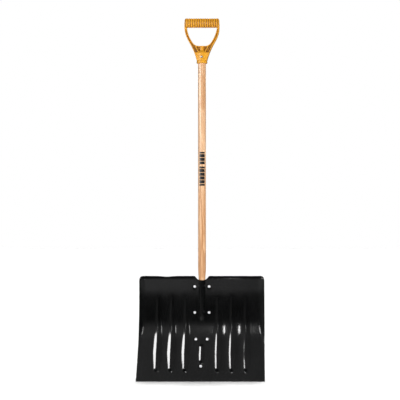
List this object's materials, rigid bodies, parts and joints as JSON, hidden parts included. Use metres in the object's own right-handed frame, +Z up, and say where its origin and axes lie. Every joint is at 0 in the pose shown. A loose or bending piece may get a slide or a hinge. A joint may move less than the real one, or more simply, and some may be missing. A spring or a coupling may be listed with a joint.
{
  "type": "snow shovel",
  "caption": "Long-handled snow shovel with a ribbed black steel scoop blade, a riveted socket strap, a straight wooden handle and a yellow plastic D-grip.",
  "frame": {"origin": "middle of the blade's flat ground edge, which the shovel stands on", "axes": "+Z up along the handle towards the grip, -Y out of the blade's hollow front, +X to the right seen from the front"},
  "size_m": [0.457, 0.1042, 1.303],
  "materials": {
    "blade_enamel": "glossy black baked enamel on pressed steel",
    "strap_enamel": "glossy black baked enamel on pressed steel",
    "handle_wood": "turned pale ash with straight grain, clear lacquer",
    "grip_plastic": "moulded amber yellow polypropylene, satin",
    "rivet_zinc": "bright zinc plate",
    "screw_zinc": "zinc plate"
  },
  "bodies": {
    "root": {"blade": "blade_enamel", "socket_strap": "strap_enamel", "handle": "handle_wood", "grip": "grip_plastic", "grip_screw": "screw_zinc", "socket_screw": "screw_zinc", "rivet_upper_left": "rivet_zinc", "rivet_upper_right": "rivet_zinc", "rivet_middle_left": "rivet_zinc", "rivet_middle_right": "rivet_zinc", "rivet_lower_left": "rivet_zinc", "rivet_lower_right": "rivet_zinc", "rivet_tail": "rivet_zinc"}
  },
  "joints": []
}
